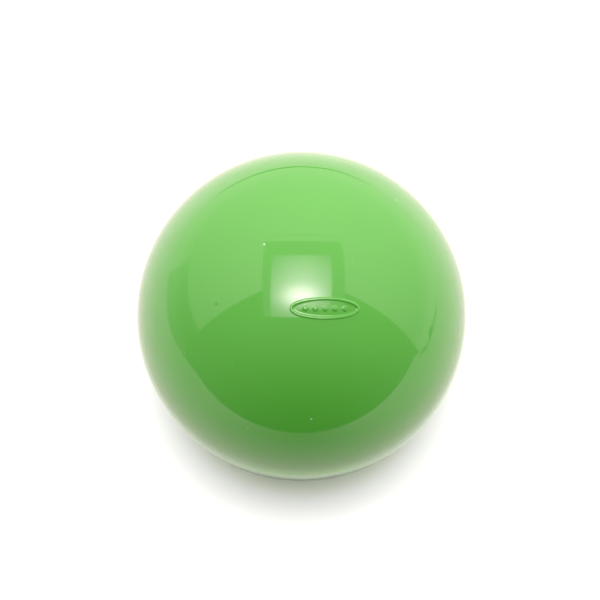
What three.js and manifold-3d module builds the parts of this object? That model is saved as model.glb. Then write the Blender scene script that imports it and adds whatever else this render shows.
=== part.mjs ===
// A full-size croquet ball: a hard plastic cover, moulded in two halves that lap at the
// equator and are welded there, over a solid composition core.
// Millimetres, +Z up, origin at the centre of the ball. The weld is in the plane z = 0.

import * as THREE from 'three'
import { mergeVertices } from 'three/addons/utils/BufferGeometryUtils.js'
import Module from 'manifold-3d'

// The ball
const BALL_DIAMETER = 92.1 // 3 5/8 in
const COVER_WALL = 6.0
const CORE_GAP = 0.3 // the core stops this far short of the cover
const LAP_HEIGHT = 3.0 // the lower half's lip rises this far inside the upper half
const LAP_GAP = 0.1 // beside the lip and above it
const SEAM_GAP = 0.1 // between the two rims
const REST_FLAT_RADIUS = 2.5 // the trimmed moulding gate, on which the ball stands

// The raised mark on the upper half: an oval ring round a row of dots
const MARK_LEAN = THREE.MathUtils.degToRad(17.4) // from +Z
const MARK_HEADING = THREE.MathUtils.degToRad(-64.6) // about +Z, from +X
const MARK_LENGTH = 17.6
const MARK_WIDTH = 5.6
const MARK_LINE = 0.7 // the width of the ring's line
const MARK_RISE = 0.3 // above the ball's surface
const MARK_DEPTH = 2.5 // the forms are rooted this far inside the wall
const DOT_COUNT = 5
const DOT_RADIUS = 0.8
const DOT_SPACING = 2.5

// Fineness of the round surfaces
const AROUND = 64
const OUTSIDE_STEPS = 14 // equator to pole
const BORE_STEPS = 9 // equator to pole
const CORE_STEPS = 18 // pole to pole
const RING_STEPS = 36
const DOT_STEPS = 16

const OUTER_RADIUS = BALL_DIAMETER / 2
const BORE_RADIUS = OUTER_RADIUS - COVER_WALL
const CORE_RADIUS = BORE_RADIUS - CORE_GAP
const LIP_RADIUS = OUTER_RADIUS - COVER_WALL / 2
const RIM_HEIGHT = SEAM_GAP / 2

const wasm = await Module()
wasm.setup()

// The angle above the equator at which a circle of this radius reaches a height
function angleAt(radius, height) {
  return Math.asin(height / radius)
}

// Points on an arc about the centre, as a lathe profile has them: distance from the axis, height
function arc(radius, fromAngle, toAngle, steps) {
  const points = []
  for (let i = 0; i <= steps; i += 1) {
    const angle = fromAngle + ((toAngle - fromAngle) * i) / steps
    const fromAxis = Math.max(radius * Math.cos(angle), 0)
    points.push(new THREE.Vector2(fromAxis, radius * Math.sin(angle)))
  }
  return points
}

function turned(profile) {
  return new THREE.LatheGeometry(profile, AROUND).rotateX(Math.PI / 2)
}

function toSolid(geometry) {
  const bare = geometry.clone()
  bare.deleteAttribute('normal')
  bare.deleteAttribute('uv')
  const shared = mergeVertices(bare)
  return new wasm.Manifold(
    new wasm.Mesh({
      numProp: 3,
      vertProperties: new Float32Array(shared.attributes.position.array),
      triVerts: new Uint32Array(shared.index.array),
    })
  )
}

function toGeometry(solid) {
  const mesh = solid.getMesh()
  const geometry = new THREE.BufferGeometry()
  geometry.setAttribute('position', new THREE.BufferAttribute(mesh.vertProperties, 3))
  geometry.setIndex(new THREE.BufferAttribute(mesh.triVerts, 1))
  geometry.computeVertexNormals()
  return geometry
}

// Turns local +Z to the mark's place on the ball, with local +X along the mark
function markPlace() {
  const out = new THREE.Vector3(
    Math.sin(MARK_LEAN) * Math.cos(MARK_HEADING),
    Math.sin(MARK_LEAN) * Math.sin(MARK_HEADING),
    Math.cos(MARK_LEAN)
  )
  const along = new THREE.Vector3(1, 0, 0).addScaledVector(out, -out.x).normalize()
  const across = new THREE.Vector3().crossVectors(out, along)
  return new THREE.Matrix4().makeBasis(along, across, out)
}

// A form of the mark, from inside the wall to above the ball, before it is trimmed to its height
function markPost(shape) {
  const post = new THREE.ExtrudeGeometry(shape, {
    depth: MARK_DEPTH + MARK_RISE,
    bevelEnabled: false,
    curveSegments: shape.holes.length > 0 ? RING_STEPS : DOT_STEPS,
  })
  return toSolid(post.translate(0, 0, OUTER_RADIUS - MARK_DEPTH).applyMatrix4(markPlace()))
}

function ringPost() {
  const halfLength = MARK_LENGTH / 2
  const halfWidth = MARK_WIDTH / 2
  const ring = new THREE.Shape()
  ring.absellipse(0, 0, halfLength, halfWidth, 0, 2 * Math.PI)
  const inside = new THREE.Path()
  inside.absellipse(0, 0, halfLength - MARK_LINE, halfWidth - MARK_LINE, 0, 2 * Math.PI)
  ring.holes.push(inside)
  return markPost(ring)
}

function dotPost(x) {
  const dot = new THREE.Shape()
  dot.absarc(x, 0, DOT_RADIUS, 0, 2 * Math.PI)
  return markPost(dot)
}

// The whole mark, trimmed by a sphere so that it stands equally proud everywhere
function mark() {
  const skinRadius = OUTER_RADIUS + MARK_RISE
  const skin = toSolid(turned(arc(skinRadius, -Math.PI / 2, Math.PI / 2, 2 * OUTSIDE_STEPS)))
  let posts = ringPost()
  for (let i = 0; i < DOT_COUNT; i += 1) {
    posts = posts.add(dotPost((i - (DOT_COUNT - 1) / 2) * DOT_SPACING))
  }
  return posts.intersect(skin)
}

// The upper half of the cover, rebated inside its rim for the lower half's lip
function upperCover() {
  const rebateRadius = LIP_RADIUS + LAP_GAP
  const profile = [
    ...arc(BORE_RADIUS, Math.PI / 2, angleAt(BORE_RADIUS, LAP_HEIGHT), BORE_STEPS),
    new THREE.Vector2(rebateRadius, LAP_HEIGHT),
    new THREE.Vector2(rebateRadius, RIM_HEIGHT),
    ...arc(OUTER_RADIUS, angleAt(OUTER_RADIUS, RIM_HEIGHT), Math.PI / 2, OUTSIDE_STEPS),
  ]
  return toGeometry(toSolid(turned(profile)).add(mark()))
}

// The lower half of the cover, with a lip inside its rim and a flat at its foot
function lowerCover() {
  const footAngle = -Math.acos(REST_FLAT_RADIUS / OUTER_RADIUS)
  const footHeight = OUTER_RADIUS * Math.sin(footAngle)
  const lipTop = LAP_HEIGHT - LAP_GAP
  return turned([
    new THREE.Vector2(0, footHeight),
    ...arc(OUTER_RADIUS, footAngle, -angleAt(OUTER_RADIUS, RIM_HEIGHT), OUTSIDE_STEPS),
    new THREE.Vector2(LIP_RADIUS, -RIM_HEIGHT),
    new THREE.Vector2(LIP_RADIUS, lipTop),
    ...arc(BORE_RADIUS, angleAt(BORE_RADIUS, lipTop), -Math.PI / 2, BORE_STEPS),
  ])
}

function core() {
  return turned(arc(CORE_RADIUS, -Math.PI / 2, Math.PI / 2, CORE_STEPS))
}

function piece(name, geometry, material) {
  const mesh = new THREE.Mesh(geometry, material)
  mesh.name = name
  return mesh
}

const greenPlastic = new THREE.MeshStandardMaterial({
  color: 0x4d9c33,
  roughness: 0.12,
  metalness: 0,
})
const corkComposition = new THREE.MeshStandardMaterial({
  color: 0x8a6238,
  roughness: 0.85,
  metalness: 0,
})

const ball = new THREE.Group()
ball.add(piece('upper_cover', upperCover(), greenPlastic))
ball.add(piece('lower_cover', lowerCover(), greenPlastic))
ball.add(piece('core', core(), corkComposition))

export default ball
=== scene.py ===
"""A croquet ball: a hard, glossy green cover, moulded in two halves and welded at the equator,
over a cork composition core. It lies on white under one overhead soft light."""

import math

import bmesh
import bpy
import numpy as np
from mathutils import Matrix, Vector, noise


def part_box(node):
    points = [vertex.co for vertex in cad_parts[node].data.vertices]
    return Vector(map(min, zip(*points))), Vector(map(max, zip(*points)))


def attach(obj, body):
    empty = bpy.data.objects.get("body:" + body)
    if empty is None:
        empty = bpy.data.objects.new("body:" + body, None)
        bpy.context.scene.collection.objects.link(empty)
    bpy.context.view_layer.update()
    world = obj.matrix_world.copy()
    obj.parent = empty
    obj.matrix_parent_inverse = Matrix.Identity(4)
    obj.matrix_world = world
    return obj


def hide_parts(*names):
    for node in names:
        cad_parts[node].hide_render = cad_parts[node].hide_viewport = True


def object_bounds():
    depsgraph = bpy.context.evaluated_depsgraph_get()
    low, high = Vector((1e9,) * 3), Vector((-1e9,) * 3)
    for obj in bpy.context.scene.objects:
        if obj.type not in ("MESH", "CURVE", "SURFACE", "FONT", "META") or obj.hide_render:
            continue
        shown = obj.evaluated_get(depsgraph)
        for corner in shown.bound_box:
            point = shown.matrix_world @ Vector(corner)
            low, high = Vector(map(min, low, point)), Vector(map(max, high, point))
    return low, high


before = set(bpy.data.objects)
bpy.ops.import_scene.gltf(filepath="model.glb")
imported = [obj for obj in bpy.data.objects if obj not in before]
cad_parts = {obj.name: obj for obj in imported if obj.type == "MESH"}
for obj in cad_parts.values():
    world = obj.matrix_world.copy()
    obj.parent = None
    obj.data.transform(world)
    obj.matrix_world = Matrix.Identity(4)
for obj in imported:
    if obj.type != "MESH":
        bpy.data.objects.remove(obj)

MM = 0.001

# The ball, from the frame. Lengths are in metres.
cad_low, cad_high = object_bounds()
RADIUS = (cad_high.x - cad_low.x) / 2
FLOOR = cad_low.z
CORE_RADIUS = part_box("core")[1].z
LIP_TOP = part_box("lower_cover")[1].z

# The cover's section. The frame gives the rest.
WALL = 6.0 * MM
LAP_GAP = 0.1 * MM
SEAM_GAP = 0.006 * MM  # the weld is trimmed and polished back to a hairline
RIM_ROUND = 0.012 * MM
BORE = RADIUS - WALL
LIP_RADIUS = RADIUS - WALL / 2

# Fineness of the meshes. The rings of a half are given on a disc of radius 1, whose edge is the
# equator: the fine step, how far it reaches from the middle, and the coarse step beyond.
UPPER_RINGS = (0.00105, 0.105, 0.02)
UPPER_SPOKES = 416
LOWER_RINGS = (0.0018, 0.04, 0.018)
LOWER_SPOKES = 256
RING_GROWTH = 1.08  # each ring beyond the fine ones is this much wider than the last
RIM_RINGS = 5  # rings that close in on the rim
RIM_CORNER_POINTS = 4
BORE_STEPS = 24
CORE_SUBDIVISIONS = 7
SHARP_ANGLE = math.radians(60)  # corners sharper than this aren't shaded smooth

# The raised mark and the mould insert it was cut in, which sits a little askew
MARK_RISE = 0.28 * MM
MARK_LINE = 0.75 * MM
RING_STEEPNESS = 1.7  # above 1, a form has steeper flanks and a flat top
DOT_COUNT = 5
DOT_SPACING = 2.5 * MM
DOT_RADIUS = 0.85 * MM
DOT_STEEPNESS = 1.8
INSERT_TILT = math.radians(2.5)

# The gate, trimmed flat at the foot, with a dimple where the runner broke off
GATE_DIMPLE_RADIUS = 0.9 * MM
GATE_DIMPLE_DEPTH = 0.2 * MM
GATE_DIMPLE_STEEPNESS = 1.4

# The moulded surface is very slightly wavy
RIPPLE_HEIGHT = 0.003 * MM
RIPPLE_WAVES = 14
RIPPLE_LENGTHS = (12 * MM, 34 * MM)
RIPPLE_SEED = 5

# Specks in the polish: degrees from the top, degrees about it, radius, and height, which is up to 1 for a
# speck of dust with a painted glint and down to -1 for a pit with painted shade
SPECKS = (
    (13, 156, 0.42 * MM, 1.0),
    (53, -86, 0.40 * MM, 0.9),
    (31, -155, 0.75 * MM, -0.6),
    (46, 41, 0.45 * MM, 0.4),
    (61, -110, 0.40 * MM, 0.3),
    (37, -51, 0.35 * MM, 0.2),
    (40, -126, 0.35 * MM, 0.2),
    (16, -1, 0.30 * MM, 0.2),
    (51, -147, 0.35 * MM, 0.25),
    (47, 8, 0.35 * MM, -0.4),
)

# Cork grains in the core
GRAIN_SIZE = 2.6 * MM
GRAIN_GROOVE = 0.22 * MM
GROOVE_WIDTH = 0.25  # as a share of the grain size
GRAIN_SHUFFLE = 7.3  # sets the heights of neighbouring grains apart


# ---------------------------------------------------------------- shapes

def polar_grid(radii, spokes, place=0j):
    """Unit vectors on the upper half of a sphere, one row to a ring. The rings close in on a place given
    on the stereographic disc, and the ring of radius 1 is the equator."""
    turn = np.exp(2j * math.pi * np.arange(spokes) / spokes)
    disc = np.asarray(radii)[:, None] * turn[None, :]
    moved = (disc + place) / (1 + np.conj(place) * disc)
    square = np.abs(moved) ** 2
    return np.stack([2 * moved.real, 2 * moved.imag, 1 - square], axis=-1) / (1 + square)[..., None]


def ring_radii(fine_step, fine_reach, coarse_step):
    """Ring radii on the disc from near 0 to 1: even up to fine_reach, then ever wider up to coarse_step,
    and closing in on the equator, so that the shading runs true right up to the rim."""
    radii = [fine_step]
    step = fine_step
    while radii[-1] + 2 * step < 1:
        radii.append(radii[-1] + step)
        if radii[-1] > fine_reach:
            step = min(step * RING_GROWTH, coarse_step)
    for _ in range(RIM_RINGS):
        radii.append((radii[-1] + 1) / 2)
    return radii + [1.0]


def rings_at(section, azimuths):
    """Rows of points for a turned surface: one ring for each (distance from the axis, height)."""
    rows = []
    for distance, height in section:
        level = np.full_like(azimuths, height)
        rows.append(np.stack([distance * np.cos(azimuths), distance * np.sin(azimuths), level], axis=-1))
    return rows


def skin_of(name, first, rows, last):
    """A closed mesh through rows of points, closed at each end by a fan to one point."""
    count = len(rows[0])
    points = np.vstack([[first], *rows, [last]])
    end = len(points) - 1
    faces = []
    for k in range(count):
        after = (k + 1) % count
        faces.append((0, 1 + k, 1 + after))
        for row in range(len(rows) - 1):
            base = 1 + row * count
            faces.append((base + k, base + count + k, base + count + after, base + after))
        base = 1 + (len(rows) - 1) * count
        faces.append((base + after, base + k, end))
    mesh = bpy.data.meshes.new(name)
    mesh.from_pydata(points.tolist(), [], faces)
    mesh.validate()
    return place_mesh(name, mesh)


def place_mesh(name, mesh):
    """An object for a mesh, smooth but for its square corners, with its faces pointing out."""
    work = bmesh.new()
    work.from_mesh(mesh)
    if work.calc_volume(signed=True) < 0:
        bmesh.ops.reverse_faces(work, faces=work.faces)
    work.to_mesh(mesh)
    work.free()
    mesh.shade_smooth()
    mesh.set_sharp_from_angle(angle=SHARP_ANGLE)
    made = bpy.data.objects.new(name, mesh)
    bpy.context.scene.collection.objects.link(made)
    return made


def smooth_step(value):
    value = np.clip(value, 0, 1)
    return value * value * (3 - 2 * value)


def ripple(points):
    """The slight waviness of the moulded surface, as a sum of plane waves."""
    chance = np.random.default_rng(RIPPLE_SEED)
    height = np.zeros(points.shape[:-1])
    for _ in range(RIPPLE_WAVES):
        wave = chance.normal(size=3)
        wave *= 2 * math.pi / (np.linalg.norm(wave) * chance.uniform(*RIPPLE_LENGTHS))
        height += np.sin(points @ wave + chance.uniform(0, 2 * math.pi))
    return RIPPLE_HEIGHT * height / math.sqrt(RIPPLE_WAVES)


def mark_from_frame():
    """The mark's centre direction, the directions along and across it, and its half length and width."""
    points = np.array([v.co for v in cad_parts["upper_cover"].data.vertices])
    proud = points[np.linalg.norm(points, axis=1) > RADIUS + MARK_RISE / 2]
    out = proud.mean(axis=0)
    for _ in range(3):  # each pass centres the direction better
        out /= np.linalg.norm(out)
        along = np.array([1.0, 0, 0]) - out[0] * out
        along /= np.linalg.norm(along)
        across = np.cross(out, along)
        low = np.array([(proud @ along).min(), (proud @ across).min()])
        high = np.array([(proud @ along).max(), (proud @ across).max()])
        centre = (low + high) / 2
        half = (high - low) / 2
        out = RADIUS * out + centre[0] * along + centre[1] * across
    return out / np.linalg.norm(out), along, across, half[0], half[1]


def mark_relief(points, mark):
    """How far the mark raises or sinks each point of the ball's surface."""
    out, along, across, half_length, half_width = mark
    u, v = points @ along, points @ across
    near = points @ out > 0
    a, b = half_length - MARK_LINE / 2, half_width - MARK_LINE / 2
    scaled = np.maximum(np.hypot(u / a, v / b), 1e-6)
    slope = np.maximum(np.hypot(u / a**2, v / b**2) / scaled, 1 / a)
    from_ring = (scaled - 1) / slope
    inside = smooth_step(-from_ring / MARK_LINE)
    sink = -inside * math.tan(INSERT_TILT) * (b - v)
    ring = smooth_step(RING_STEEPNESS * (1 - np.abs(from_ring) / (MARK_LINE / 2)))
    dots = np.zeros_like(u)
    for k in range(DOT_COUNT):
        x = (k - (DOT_COUNT - 1) / 2) * DOT_SPACING
        dot = smooth_step(DOT_STEEPNESS * (1 - np.hypot(u - x, v) / DOT_RADIUS))
        dots = np.maximum(dots, dot)
    return near * (sink + MARK_RISE * np.maximum(ring, dots))


def rounded_rim(side):
    """The outer corner of a rim, from the ball's surface in to the face of the rim."""
    corner = []
    for angle in np.linspace(0, math.pi / 2, RIM_CORNER_POINTS):
        distance = RADIUS - RIM_ROUND * (1 - math.cos(angle))
        height = RIM_ROUND + (SEAM_GAP / 2 - RIM_ROUND) * math.sin(angle)
        corner.append((distance, side * height))
    return corner


def bore_section(from_height, side):
    """The inside of a half, from a height near the rim towards the pole."""
    start = math.asin(from_height / BORE)
    end = side * math.pi / 2
    angles = np.linspace(start, end, BORE_STEPS + 1)[:-1]
    return [(BORE * math.cos(angle), BORE * math.sin(angle)) for angle in angles]


def upper_cover():
    """The upper half, with the raised mark. The rings of its mesh close in on the mark."""
    mark = mark_from_frame()
    out = mark[0]
    place = complex(out[0], out[1]) / (1 + out[2])
    grid = polar_grid(ring_radii(*UPPER_RINGS), UPPER_SPOKES, place)
    surface = grid * (RADIUS + ripple(grid * RADIUS) + mark_relief(grid * RADIUS, mark))[..., None]
    azimuths = np.arctan2(grid[-1, :, 1], grid[-1, :, 0])
    lap_top = LIP_TOP + LAP_GAP
    rebate = LIP_RADIUS + LAP_GAP
    section = rounded_rim(1) + [(rebate, SEAM_GAP / 2), (rebate, lap_top)]
    section += bore_section(lap_top, 1)
    rows = list(surface[:-1]) + rings_at(section, azimuths)
    return skin_of("cover_upper_half", out * RADIUS, rows, (0, 0, BORE))


def lower_cover():
    """The lower half, with the lip inside its rim and the trimmed gate at its foot."""
    grid = polar_grid(ring_radii(*LOWER_RINGS), LOWER_SPOKES) * (1, 1, -1)
    surface = grid * (RADIUS + ripple(grid * RADIUS))[..., None]
    from_axis = np.hypot(surface[..., 0], surface[..., 1])
    rise = smooth_step(GATE_DIMPLE_STEEPNESS * (1 - from_axis / GATE_DIMPLE_RADIUS))
    dimple = GATE_DIMPLE_DEPTH * rise
    surface[..., 2] = np.maximum(surface[..., 2], FLOOR) + dimple
    azimuths = np.arctan2(grid[-1, :, 1], grid[-1, :, 0])
    section = rounded_rim(-1) + [(LIP_RADIUS, -SEAM_GAP / 2), (LIP_RADIUS, LIP_TOP)]
    section += bore_section(LIP_TOP, -1)
    rows = list(surface[:-1]) + rings_at(section, azimuths)
    return skin_of("cover_lower_half", (0, 0, FLOOR + GATE_DIMPLE_DEPTH), rows, (0, 0, -BORE))


def core():
    """A ball of pressed cork grains, each with its own height, and grooves of resin between them."""
    work = bmesh.new()
    bmesh.ops.create_icosphere(work, subdivisions=CORE_SUBDIVISIONS, radius=CORE_RADIUS)
    for vertex in work.verts:
        distances, centres = noise.voronoi(vertex.co / GRAIN_SIZE)
        groove = 1 - smooth_step((distances[1] - distances[0]) / GROOVE_WIDTH)
        grain = 0.5 + 0.5 * noise.noise(centres[0] * GRAIN_SHUFFLE)
        depth = GRAIN_GROOVE * groove + 0.5 * GRAIN_GROOVE * grain
        vertex.co *= (CORE_RADIUS - depth) / vertex.co.length
    mesh = bpy.data.meshes.new("cork_core")
    work.to_mesh(mesh)
    work.free()
    return place_mesh("cork_core", mesh)


# ---------------------------------------------------------------- nodes

def feed(tree, socket, value):
    """Gives a socket a number or colour, or the output of another node."""
    if isinstance(value, bpy.types.NodeSocket):
        tree.links.new(value, socket)
    else:
        socket.default_value = value


def add_node(tree, kind, inputs, **settings):
    made = tree.nodes.new(kind)
    for name, value in settings.items():
        setattr(made, name, value)
    for name, value in inputs.items():
        feed(tree, made.inputs[name], value)
    return made


def maths(tree, operation, *values):
    made = tree.nodes.new("ShaderNodeMath")
    made.operation = operation
    for socket, value in zip(made.inputs, values):
        feed(tree, socket, value)
    return made.outputs[0]


def product(tree, *values):
    result = values[0]
    for value in values[1:]:
        result = maths(tree, "MULTIPLY", result, value)
    return result


def total(tree, *values):
    result = values[0]
    for value in values[1:]:
        result = maths(tree, "ADD", result, value)
    return result


def map_range(tree, value, from_low, from_high, to_low=0.0, to_high=1.0, kind="SMOOTHSTEP"):
    limits = {"From Min": from_low, "From Max": from_high, "To Min": to_low, "To Max": to_high}
    made = add_node(tree, "ShaderNodeMapRange", {"Value": value, **limits}, interpolation_type=kind)
    return made.outputs["Result"]


def band(tree, value, low, high, soft):
    """1 between two limits and 0 outside them, with soft edges."""
    rising = map_range(tree, value, low - soft, low + soft)
    falling = map_range(tree, value, high - soft, high + soft, 1.0, 0.0)
    return product(tree, rising, falling)


def distance_to(tree, where, point):
    made = add_node(tree, "ShaderNodeVectorMath", {0: where, 1: point}, operation="DISTANCE")
    return made.outputs["Value"]


def mix_colour(tree, share, first, second):
    made = tree.nodes.new("ShaderNodeMix")
    made.data_type = "RGBA"
    feed(tree, made.inputs[0], share)
    feed(tree, made.inputs[6], first)
    feed(tree, made.inputs[7], second)
    return made.outputs[2]


def new_material(name):
    made = bpy.data.materials.new(name)
    made.use_nodes = True
    return made, made.node_tree, made.node_tree.nodes["Principled BSDF"]


def new_matt_material(name):
    """A material with no shine, for the studio."""
    made, tree, shader = new_material(name)
    shader.inputs["Roughness"].default_value = 0.9
    shader.inputs["Specular IOR Level"].default_value = 0.0
    return made, tree, shader


# ---------------------------------------------------------------- materials

GREEN = (0.074, 0.33, 0.034, 1)
GREEN_DEEPER = (0.069, 0.314, 0.031, 1)
# Pale specks are partly dust and partly a painted glint; dark pits are painted shade
DUST_AND_GLINT = (0.75, 0.9, 0.7, 1)
DUST_AND_GLINT_COVER = 0.6  # how much of the green a full speck of dust hides
PIT_SHADE = (0.02, 0.12, 0.01, 1)
PIT_SHADE_COVER = 0.7
SPECK_RELIEF = 0.08 * MM
PEEL_RELIEF = 0.0008 * MM
POLISH_FADE = (RADIUS - 1.2 * MM, RADIUS - 0.6 * MM)  # satin inside the first, polished outside the last
POLISHED_ROUGHNESS = (0.045, 0.075)
SATIN_ROUGHNESS = 0.45

CORK_DARK = (0.16, 0.07, 0.025, 1)
CORK_LIGHT = (0.42, 0.22, 0.085, 1)
CORK_FLECK = (0.09, 0.04, 0.015, 1)
CORK_ROUGHNESS = (0.75, 0.92)
CORK_RELIEF = 0.06 * MM


def speck(tree, where, lean, heading, radius, height):
    """A small round rise or pit in the cover's surface, as high as its height at its middle."""
    lean, heading = math.radians(lean), math.radians(heading)
    flat = math.sin(lean)
    at = Vector((flat * math.cos(heading), flat * math.sin(heading), math.cos(lean))) * RADIUS
    return map_range(tree, distance_to(tree, where, at), 0.0, radius, height, 0.0)


def cover_plastic():
    """Polished injection-moulded plastic, satin on the inside, where nobody polished the mould."""
    made, tree, shader = new_material("cover_plastic")
    where = tree.nodes.new("ShaderNodeTexCoord").outputs["Object"]
    cloud = add_node(tree, "ShaderNodeTexNoise", {"Vector": where, "Scale": 38.0, "Detail": 2.0})
    green = mix_colour(tree, cloud.outputs["Fac"], GREEN, GREEN_DEEPER)
    relief = total(tree, *[speck(tree, where, *values) for values in SPECKS])
    # the specks' colour: pale for dust with a painted glint, dark for painted shade in a pit
    dusty_and_glinting = mix_colour(tree, map_range(tree, relief, 0.0, 1.0, 0.0, DUST_AND_GLINT_COVER, "LINEAR"), green, DUST_AND_GLINT)
    colour = mix_colour(tree, map_range(tree, relief, 0.0, -1.0, 0.0, PIT_SHADE_COVER, "LINEAR"), dusty_and_glinting, PIT_SHADE)
    feed(tree, shader.inputs["Base Color"], colour)

    from_centre = add_node(tree, "ShaderNodeVectorMath", {0: where}, operation="LENGTH").outputs["Value"]
    polished = map_range(tree, from_centre, *POLISH_FADE)
    smear = add_node(tree, "ShaderNodeTexNoise", {"Vector": where, "Scale": 60.0, "Detail": 4.0})
    gloss = map_range(tree, smear.outputs["Fac"], 0.35, 0.75, *POLISHED_ROUGHNESS)
    satin = map_range(tree, polished, 0.0, 1.0, SATIN_ROUGHNESS, 0.0)
    feed(tree, shader.inputs["Roughness"], total(tree, product(tree, polished, gloss), satin))
    shader.inputs["IOR"].default_value = 1.5

    peel = add_node(tree, "ShaderNodeTexNoise", {"Vector": where, "Scale": 420.0, "Detail": 1.0})
    waves = add_node(tree, "ShaderNodeBump", {"Height": peel.outputs["Fac"], "Distance": PEEL_RELIEF})
    specks = add_node(tree, "ShaderNodeBump", {"Height": relief, "Distance": SPECK_RELIEF})
    tree.links.new(waves.outputs["Normal"], specks.inputs["Normal"])
    feed(tree, shader.inputs["Normal"], specks.outputs["Normal"])
    return made


def cork_composition():
    """Cork grains of several browns, bound in dark resin."""
    made, tree, shader = new_material("core_composition")
    where = tree.nodes.new("ShaderNodeTexCoord").outputs["Object"]
    grains = add_node(tree, "ShaderNodeTexVoronoi", {"Vector": where, "Scale": 1 / GRAIN_SIZE})
    grain_value = add_node(tree, "ShaderNodeSeparateColor", {"Color": grains.outputs["Color"]}).outputs[0]
    cells = add_node(tree, "ShaderNodeTexNoise", {"Vector": where, "Scale": 1600.0, "Detail": 3.0})
    brown = mix_colour(tree, grain_value, CORK_DARK, CORK_LIGHT)
    flecks = map_range(tree, cells.outputs["Fac"], 0.5, 0.7)
    feed(tree, shader.inputs["Base Color"], mix_colour(tree, flecks, brown, CORK_FLECK))
    feed(tree, shader.inputs["Roughness"], map_range(tree, grain_value, 0.0, 1.0, *CORK_ROUGHNESS))
    bump = add_node(tree, "ShaderNodeBump", {"Height": cells.outputs["Fac"], "Distance": CORK_RELIEF})
    feed(tree, shader.inputs["Normal"], bump.outputs["Normal"])
    return made


# ---------------------------------------------------------------- studio

# The light, and the white of the backdrop and the floor
LIGHT_SPREAD = math.radians(32)
LIGHT_STRENGTH = 2.6
LIGHT_PLACE = (0, 0.05, 0.6)  # any place will do for a sun lamp
BACKDROP = 1.1
FLOOR_REACH = 4.0
FLOOR_POINTS = 128
# Close under the ball the floor is painted darker and green: painted shade and painted green bounce light
FLOOR_NEAR_SHADE_AND_BOUNCE = (0.92, 0.91, 0.82, 1)
FLOOR_AWAY = (1.0, 0.96, 0.97, 1)
FLOOR_NEAR_ENDS = (0.84 * RADIUS, 0.97 * RADIUS)
FLOOR_BOUNCE = (0.5, 0.5, 0.5, 1)

# The light from the walls on the shadows, more of it from low down, from the right and from in front
WALL_FILL = 1.35
LOW_WALL_FILL = 3.8
LOW_WALL_ENDS = (0.15, 0.25)
FILL_LEAN = 0.1
FILL_LEVEL = 1.02
FRONT_FILL = 0.1

# The room that the ball mirrors, by direction: x to the right, y to the back and z up, each from -1 to 1
WALL_BEND = 0.27  # how far the white wall comes forward to each side
WALL_TOP_SETBACK = -0.125  # how far its edge draws back with height
WALL_EDGE_SOFTNESS = 0.008
WALL_GLOW = 1.42
WALL_GLOW_SLOPES = (0.12, 0.6, 1.4)
LOW_LIFT = 0.55  # what the wall gains low down at each side
LOW_LIFT_ENDS = (-0.16, 0.1)
# The duller sliver of the wall, low down on the left: at the back it ends where its slanted sum is 0
SLIVER_SLOPES = (-0.46, -1.0, 0.164)
SLIVER_SOFTNESS = 0.012
SLIVER_TOP = (0.16, 0.19)
SLIVER_TOP_SLOPE = 0.2
SLIVER_RIGHT = (-0.3, -0.2)
SLIVER_SHADES = (0.54, 0.74)  # in front and behind
SLIVER_SHADE_ENDS = (-0.2, 0.35)
# The dark front, brighter upward and to each side
FRONT_GLOW = 0.01
FRONT_GLOW_UP = 1.05
FRONT_GLOW_ASIDE = 0.66
WARM_WHITE = (1.1, 1.0, 0.9, 1)

# The light box that the ball mirrors, on a ceiling one unit above the ball: u to the right, v to the back.
# A soft edge has the value at which it starts and the one at which it ends.
CEILING_LOWEST = 0.05
NEAR_EDGE = (-0.36, -0.335)
FACE_FAR_EDGE = (0.405, 0.44)
FACE_LEFT_EDGE = (-0.395, -0.355)
FACE_RIGHT_EDGE = (0.345, 0.375)
LEFT_EDGE_LEAN = -0.05
FAR_EDGE_BOW = -0.28
HOUSING_SIDES = (-0.49, 0.545)
HOUSING_SIDE_SOFTNESS = 0.012
HOUSING_FAR_EDGE = (0.64, 0.665)
HOUSING_GLOW = 1.7
HOOD_EDGES = (0.745, 0.785)
HOOD_SOFTNESS = 0.01
HOOD_SHARE = 0.4
FACE_GLOW = 0.5
FACE_GLOW_SLOPE = -0.6
FACE_WHITE = (0.98, 0.76, 0.88, 1)
# Bright spots on its face: brightness, place, and tightness along u and v
WIDE_SPOT = (6.6, (0.01, 0.04), (7.2, 8.0))
HOT_SPOT = (16.0, (0.0, -0.1), (21.0, 62.0))

# The white sheet round the ball, which only the ball mirrors: an oval with a slanting left side and a
# straight front edge, and dark gaps along its edge, whose darkness is painted shade
OVAL_STEPS = 48
SHEET_HALF_WIDTH = 8.0 * RADIUS
SHEET_HALF_DEPTH = 6.65 * RADIUS
SHEET_BACK = 0.3 * RADIUS  # the middle of its oval back edge lies this far behind the ball
SHEET_OVAL_ENDS = (-9, 178)  # degrees
SHEET_FRONT_LINE = -6.8 * RADIUS
SHEET_FRONT_ENDS = (-11.7 * RADIUS, 18.0 * RADIUS)
SHEET_LEFT_SIDE = ((-8.8 * RADIUS, -1.4 * RADIUS), (-10.9 * RADIUS, -4.0 * RADIUS))
SHEET_LIFT = 0.05 * MM
GAP_LIFT = 0.08 * MM
GAP_START = 0.99  # a gap starts this far out, as a share of the oval's size
GAP_CLOSED = 0.995  # and ends this far out where it is closed
GAP_SLIMNESS = 0.6  # below 1, a gap widens quickly from its ends
# The gaps are painted shade: flat dark strips where shaded gaps would be
GAP_DEEP_SHADE = (0.02, 0.02, 0.02, 1)
GAP_HALF_SHADE = (0.4, 0.4, 0.4, 1)
SIDE_GAP_ENDS = ((11.0 * RADIUS, -4.0 * RADIUS), (7.8 * RADIUS, -1.5 * RADIUS))
SIDE_GAP_WIDTH = 1.5 * RADIUS

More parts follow.
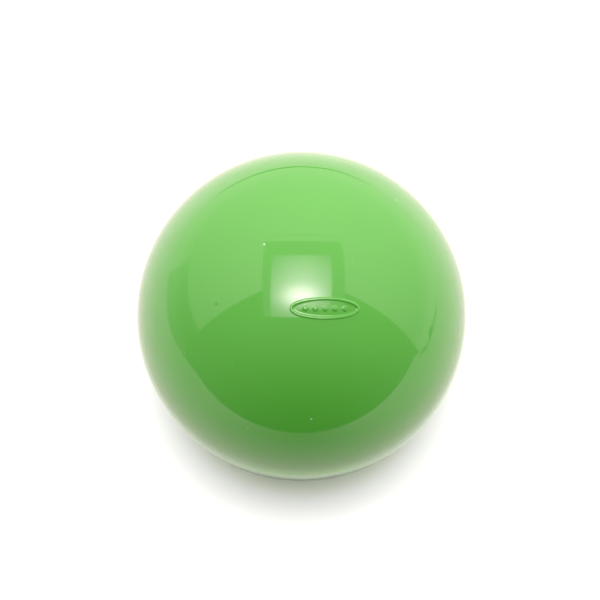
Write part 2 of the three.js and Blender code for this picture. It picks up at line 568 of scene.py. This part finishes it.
# The sheet's painted light and shade
DIM_WIDTH = 3.0 * RADIUS
DIM_SHARE = 0.55  # what it loses in front of the ball
DIM_ENDS = (-5.5 * RADIUS, 0.0)
SHEET_LEFT_SHARE = 0.97
SHEET_RIGHT_SHARE = 1.07
SHEET_BACK_SHARE = 1.1
BACK_ENDS = (0.0, 4.0 * RADIUS)
BESIDE_SHARE = 0.13
BESIDE_ENDS = (1.2 * RADIUS, 3.0 * RADIUS)
BESIDE_START = (-3.0 * RADIUS, RADIUS)
UNDER_SHARE = 0.5
UNDER_ENDS = (RADIUS, 1.2 * RADIUS)
# The painted shade under the ball and the painted green bounce light are strongest straight ahead
STRAIGHT_AHEAD = (0.2 * RADIUS, 0.9 * RADIUS)  # how far to a side the darkest and greenest part fades out

# The sheet's tints: behind the ball, in front of it, close to it and in the ring that its green light tints
SHEET_BEHIND = (1.09, 0.85, 0.92, 1)
SHEET_FRONT = (1.07, 0.9, 0.86, 1)
SHEET_TINT_ENDS = (-2.5 * RADIUS, RADIUS)
# Close to the ball and in the ring in front of it, the tint is painted green bounce light
SHEET_NEAR_BOUNCE = (1.06, 0.98, 0.96, 1)
SHEET_NEAR_ENDS = (1.3 * RADIUS, 1.75 * RADIUS)
SHEET_GREEN_BOUNCE = (1.05, 1.07, 0.86, 1)
GREEN_BOUNCE_RING = (1.22 * RADIUS, 1.6 * RADIUS)
GREEN_BOUNCE_RING_SOFTNESS = 0.12 * RADIUS


def slanted(tree, slopes, x, y, z):
    """A sum of x, y and z, each times its slope."""
    return total(tree, product(tree, x, slopes[0]), product(tree, y, slopes[1]), product(tree, z, slopes[2]))


def white_walls(tree, x, y, z):
    """How much of a direction is white wall, which stands behind and beside the ball."""
    side = maths(tree, "ABSOLUTE", x)
    behind = slanted(tree, (WALL_BEND, 1.0, WALL_TOP_SETBACK), side, y, z)
    return map_range(tree, behind, -WALL_EDGE_SOFTNESS, WALL_EDGE_SOFTNESS)


def wall_shade(tree, x, y, z):
    """1 on most of the white wall, and less on the duller part low down on the left."""
    height = total(tree, z, product(tree, y, SLIVER_TOP_SLOPE))
    low = map_range(tree, height, *SLIVER_TOP, 1.0, 0.0)
    ahead = slanted(tree, SLIVER_SLOPES, x, y, z)
    inside = map_range(tree, ahead, -SLIVER_SOFTNESS, SLIVER_SOFTNESS)
    left = product(tree, inside, map_range(tree, x, *SLIVER_RIGHT, 1.0, 0.0))
    shade = map_range(tree, y, *SLIVER_SHADE_ENDS, *SLIVER_SHADES)
    return map_range(tree, product(tree, low, left), 0.0, 1.0, 1.0, shade)


def mirrored_room(tree, white, x, y, z):
    """The room as the ball mirrors it: white walls, brightest high up at the back and duller low down on
    the left, and a dark front."""
    glow = total(tree, WALL_GLOW, slanted(tree, WALL_GLOW_SLOPES, x, y, z))
    lift = product(tree, maths(tree, "ABSOLUTE", x), map_range(tree, z, *LOW_LIFT_ENDS, LOW_LIFT, 0.0))
    wall = product(tree, total(tree, glow, lift), wall_shade(tree, x, y, z))
    upward = product(tree, z, z, FRONT_GLOW_UP)
    dark = total(tree, FRONT_GLOW, upward, product(tree, x, x, FRONT_GLOW_ASIDE))
    return map_range(tree, white, 0.0, 1.0, dark, wall, "LINEAR")


def bright_spot(tree, u, v, height, at, tightness):
    """A soft spot on the light box's face."""
    from_u = maths(tree, "SUBTRACT", u, at[0])
    from_v = maths(tree, "SUBTRACT", v, at[1])
    along_u = product(tree, from_u, from_u, -tightness[0])
    along_v = product(tree, from_v, from_v, -tightness[1])
    return product(tree, height, maths(tree, "EXPONENT", total(tree, along_u, along_v)))


def light_box(tree, x, y, z):
    """The overhead light box as the ball mirrors it: its face, its dark housing with a hood at the back,
    and how bright the face is."""
    height = maths(tree, "MAXIMUM", z, CEILING_LOWEST)
    u = maths(tree, "DIVIDE", x, height)
    v = maths(tree, "DIVIDE", y, height)
    leaning = total(tree, u, product(tree, v, LEFT_EDGE_LEAN))
    bowed = total(tree, v, product(tree, u, u, FAR_EDGE_BOW))
    near_edge = map_range(tree, v, *NEAR_EDGE)
    face = product(
        tree,
        near_edge,
        map_range(tree, bowed, *FACE_FAR_EDGE, 1.0, 0.0),
        map_range(tree, leaning, *FACE_LEFT_EDGE),
        map_range(tree, u, *FACE_RIGHT_EDGE, 1.0, 0.0),
    )
    width = product(tree, near_edge, band(tree, u, *HOUSING_SIDES, HOUSING_SIDE_SOFTNESS))
    hood = product(tree, band(tree, bowed, *HOOD_EDGES, HOOD_SOFTNESS), HOOD_SHARE)
    box = map_range(tree, bowed, *HOUSING_FAR_EDGE, 1.0, 0.0)
    housing = product(tree, width, total(tree, box, hood))
    even = total(tree, FACE_GLOW, product(tree, v, FACE_GLOW_SLOPE))
    glow = total(tree, even, bright_spot(tree, u, v, *WIDE_SPOT), bright_spot(tree, u, v, *HOT_SPOT))
    return face, housing, glow


def wall_light(tree, white, x, y, z):
    """The light that the walls and the dark front throw on the floor and the ball."""
    fill = map_range(tree, z, *LOW_WALL_ENDS, LOW_WALL_FILL, WALL_FILL)
    lean = total(tree, product(tree, x, FILL_LEAN), product(tree, y, -FILL_LEAN), FILL_LEVEL)
    return map_range(tree, white, 0.0, 1.0, FRONT_FILL, product(tree, fill, lean), "LINEAR")


def make_world():
    """White to the camera. The ball mirrors the room and the light box, and the walls fill the shadows."""
    world = bpy.data.worlds.new("studio")
    world.use_nodes = True
    bpy.context.scene.world = world
    tree = world.node_tree
    tree.nodes.clear()
    direction = tree.nodes.new("ShaderNodeTexCoord").outputs["Generated"]
    x, y, z = add_node(tree, "ShaderNodeSeparateXYZ", {"Vector": direction}).outputs
    white = white_walls(tree, x, y, z)
    room = mirrored_room(tree, white, x, y, z)
    face, housing, glow = light_box(tree, x, y, z)
    open_room = product(tree, room, maths(tree, "SUBTRACT", 1.0, housing))
    mirrored = total(tree, open_room, product(tree, housing, HOUSING_GLOW), product(tree, face, glow))
    path = tree.nodes.new("ShaderNodeLightPath")
    glossy = path.outputs["Is Glossy Ray"]
    camera = path.outputs["Is Camera Ray"]
    other = maths(tree, "SUBTRACT", 1.0, maths(tree, "MAXIMUM", glossy, camera))
    seen = total(
        tree,
        product(tree, glossy, mirrored),
        product(tree, camera, BACKDROP),
        product(tree, other, wall_light(tree, white, x, y, z)),
    )
    tint = mix_colour(tree, face, WARM_WHITE, FACE_WHITE)
    colour = mix_colour(tree, glossy, (1, 1, 1, 1), tint)
    background = add_node(tree, "ShaderNodeBackground", {"Color": colour, "Strength": seen})
    output = tree.nodes.new("ShaderNodeOutputWorld")
    tree.links.new(background.outputs[0], output.inputs[0])


def flat_shape(name, points, faces, height, material):
    """A flat shape on the floor."""
    mesh = bpy.data.meshes.new(name)
    mesh.from_pydata([(x, y, height) for x, y in points], [], faces)
    made = bpy.data.objects.new(name, mesh)
    made.data.materials.append(material)
    bpy.context.scene.collection.objects.link(made)
    return made


def oval_edge(start, end, reach=1.0):
    """Points on the sheet's oval edge, or beyond it for a greater reach, between two azimuths in degrees."""
    azimuths = np.radians(np.linspace(start, end, OVAL_STEPS + 1))
    across = reach * SHEET_HALF_WIDTH * np.cos(azimuths)
    along = SHEET_BACK + reach * SHEET_HALF_DEPTH * np.sin(azimuths)
    return list(zip(across.tolist(), along.tolist()))


def floor_material():
    """White to the camera, with painted shade and painted green bounce light close under the ball. It throws
    back less light on the ball than it shows."""
    made, tree, shader = new_matt_material("white_floor")
    bounce = tree.nodes.new("ShaderNodeLightPath").outputs["Is Diffuse Ray"]
    where = tree.nodes.new("ShaderNodeNewGeometry").outputs["Position"]
    # the floor's painted shade and painted green bounce light fade out between these distances from the
    # ball's foot
    clear = map_range(tree, distance_to(tree, where, (0, 0, FLOOR)), *FLOOR_NEAR_ENDS)
    shown = mix_colour(tree, clear, FLOOR_NEAR_SHADE_AND_BOUNCE, FLOOR_AWAY)
    feed(tree, shader.inputs["Base Color"], mix_colour(tree, bounce, shown, FLOOR_BOUNCE))
    return made


def sheet_brightness(tree, x, y, away, straight):
    """Painted shade in front of the ball, dimmed by whoever stands there with the camera, and right under it,
    where the ball shades it, and painted light, brighter behind and to each side."""
    across = maths(tree, "DIVIDE", x, DIM_WIDTH)
    middle = maths(tree, "EXPONENT", product(tree, across, across, -1.0))
    dimmed = product(tree, middle, map_range(tree, y, *DIM_ENDS, DIM_SHARE, 0.0))
    ends = (-SHEET_HALF_WIDTH, SHEET_HALF_WIDTH)
    sideways = map_range(tree, x, *ends, SHEET_LEFT_SHARE, SHEET_RIGHT_SHARE, "LINEAR")
    backwards = map_range(tree, y, *BACK_ENDS, 1.0, SHEET_BACK_SHARE)
    beside = map_range(tree, maths(tree, "ABSOLUTE", x), *BESIDE_ENDS, 0.0, BESIDE_SHARE)
    beside = product(tree, beside, map_range(tree, y, *BESIDE_START))
    under = product(tree, straight, map_range(tree, away, *UNDER_ENDS, UNDER_SHARE, 0.0))
    return product(
        tree,
        maths(tree, "SUBTRACT", 1.0, dimmed),
        sideways,
        backwards,
        total(tree, 1.0, beside),
        maths(tree, "SUBTRACT", 1.0, under),
    )


def sheet_tint(tree, y, away, straight):
    """Slightly tinted white, with painted green bounce light from the ball close to it and in front of it."""
    tint = mix_colour(tree, map_range(tree, y, *SHEET_TINT_ENDS), SHEET_FRONT, SHEET_BEHIND)
    tint = mix_colour(tree, map_range(tree, away, *SHEET_NEAR_ENDS, 1.0, 0.0), tint, SHEET_NEAR_BOUNCE)
    green = product(tree, straight, band(tree, away, *GREEN_BOUNCE_RING, GREEN_BOUNCE_RING_SOFTNESS))
    return mix_colour(tree, green, tint, SHEET_GREEN_BOUNCE)


def sheet_material():
    made, tree, shader = new_matt_material("sheet")
    where = tree.nodes.new("ShaderNodeNewGeometry").outputs["Position"]
    x, y, _ = add_node(tree, "ShaderNodeSeparateXYZ", {"Vector": where}).outputs
    away = distance_to(tree, where, (0, 0, FLOOR))
    straight = map_range(tree, maths(tree, "ABSOLUTE", x), *STRAIGHT_AHEAD, 1.0, 0.0)
    tint = sheet_tint(tree, y, away, straight)
    share = sheet_brightness(tree, x, y, away, straight)
    colour = add_node(tree, "ShaderNodeVectorMath", {0: tint, "Scale": share}, operation="SCALE")
    feed(tree, shader.inputs["Base Color"], colour.outputs["Vector"])
    return made


def gap_material(name, colour):
    made, _, shader = new_matt_material(name)
    shader.inputs["Base Color"].default_value = colour
    return made


def gap(name, start, end, width, material):
    """A dark gap of painted shade along the sheet's oval edge between two azimuths, widest half way and
    closed at its ends.
    """
    bulge = np.sin(math.pi * np.linspace(0, 1, OVAL_STEPS + 1)) ** GAP_SLIMNESS
    points = oval_edge(start, end, GAP_START) + oval_edge(start, end, GAP_CLOSED + width * bulge)
    count = OVAL_STEPS + 1
    faces = [(k, k + 1, count + k + 1, count + k) for k in range(OVAL_STEPS)]
    return flat_shape(name, points, faces, FLOOR + GAP_LIFT, material)


def side_gap(material):
    """A straight dark gap of painted shade just inside the sheet's right side, pointed at its ends."""
    (far_x, far_y), (near_x, near_y) = SIDE_GAP_ENDS
    middle = ((far_x + near_x) / 2 + SIDE_GAP_WIDTH, (far_y + near_y) / 2)
    points = [(far_x, far_y), middle, (near_x, near_y)]
    return flat_shape("side_gap", points, [(0, 1, 2)], FLOOR + GAP_LIFT, material)


def make_stage():
    """A wide white floor. The ball mirrors only a sheet of it, and the dark gaps of painted shade along its
    edge.
    """
    azimuths = np.linspace(0, 2 * math.pi, FLOOR_POINTS, endpoint=False)
    across = FLOOR_REACH * np.cos(azimuths)
    along = FLOOR_REACH * np.sin(azimuths)
    round_edge = list(zip(across.tolist(), along.tolist()))
    floor = flat_shape("floor", round_edge, [range(FLOOR_POINTS)], FLOOR, floor_material())
    floor.visible_glossy = False
    outline = oval_edge(*SHEET_OVAL_ENDS)
    outline += SHEET_LEFT_SIDE
    outline += [(x, SHEET_FRONT_LINE) for x in SHEET_FRONT_ENDS]
    sheet = flat_shape("sheet", outline, [range(len(outline))], FLOOR + SHEET_LIFT, sheet_material())
    dark = gap_material("gap_painted_shade", GAP_DEEP_SHADE)
    dim = gap_material("gap_painted_half_shade", GAP_HALF_SHADE)
    gaps = (
        gap("back_gap", start=68, end=121, width=0.09, material=dark),
        gap("right_gap", start=-20, end=7, width=0.12, material=dim),
        gap("right_bay", start=-12, end=-4, width=0.4, material=dim),
        side_gap(dim),
    )
    for mirrored in (sheet, *gaps):
        mirrored.visible_camera = False
        mirrored.visible_diffuse = False
        mirrored.visible_shadow = False


def make_light():
    """A soft light from straight above."""
    lamp = bpy.data.lights.new("overhead_light", "SUN")
    lamp.energy = LIGHT_STRENGTH
    lamp.angle = LIGHT_SPREAD
    made = bpy.data.objects.new("overhead_light", lamp)
    made.location = LIGHT_PLACE
    made.visible_glossy = False
    bpy.context.scene.collection.objects.link(made)


CAMERA_ELEVATION = math.radians(72)
CAMERA_LENS = 85.0
CAMERA_DISTANCE = 8.64 * RADIUS
AIM_ABOVE = 0.094 * RADIUS  # the ball sits a little below the middle of the picture
AIM_LEFT = 0.0095 * RADIUS


def make_camera():
    """The photo's view: from the front, high above the ball."""
    back = Vector((0, -math.cos(CAMERA_ELEVATION), math.sin(CAMERA_ELEVATION)))
    up = Vector((0, math.sin(CAMERA_ELEVATION), math.cos(CAMERA_ELEVATION)))
    aim = up * AIM_ABOVE + Vector((-AIM_LEFT, 0, 0))
    data = bpy.data.cameras.new("camera")
    data.lens = CAMERA_LENS
    data.clip_start = 0.01
    camera = bpy.data.objects.new("camera", data)
    camera.location = back * CAMERA_DISTANCE
    camera.rotation_euler = (aim - camera.location).to_track_quat("-Z", "Y").to_euler()
    bpy.context.scene.collection.objects.link(camera)
    bpy.context.scene.camera = camera


# ---------------------------------------------------------------- the scene

def finish_piece(piece, node, material):
    """Gives a piece its material, ties it to the frame, and hides the CAD node that it stands for."""
    piece.data.materials.append(material)
    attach(piece, "root")
    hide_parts(node)


green = cover_plastic()
finish_piece(upper_cover(), "upper_cover", green)
finish_piece(lower_cover(), "lower_cover", green)
finish_piece(core(), "core", cork_composition())
make_stage()
make_world()
make_light()
make_camera()
bpy.context.scene.view_settings.view_transform = "Standard"
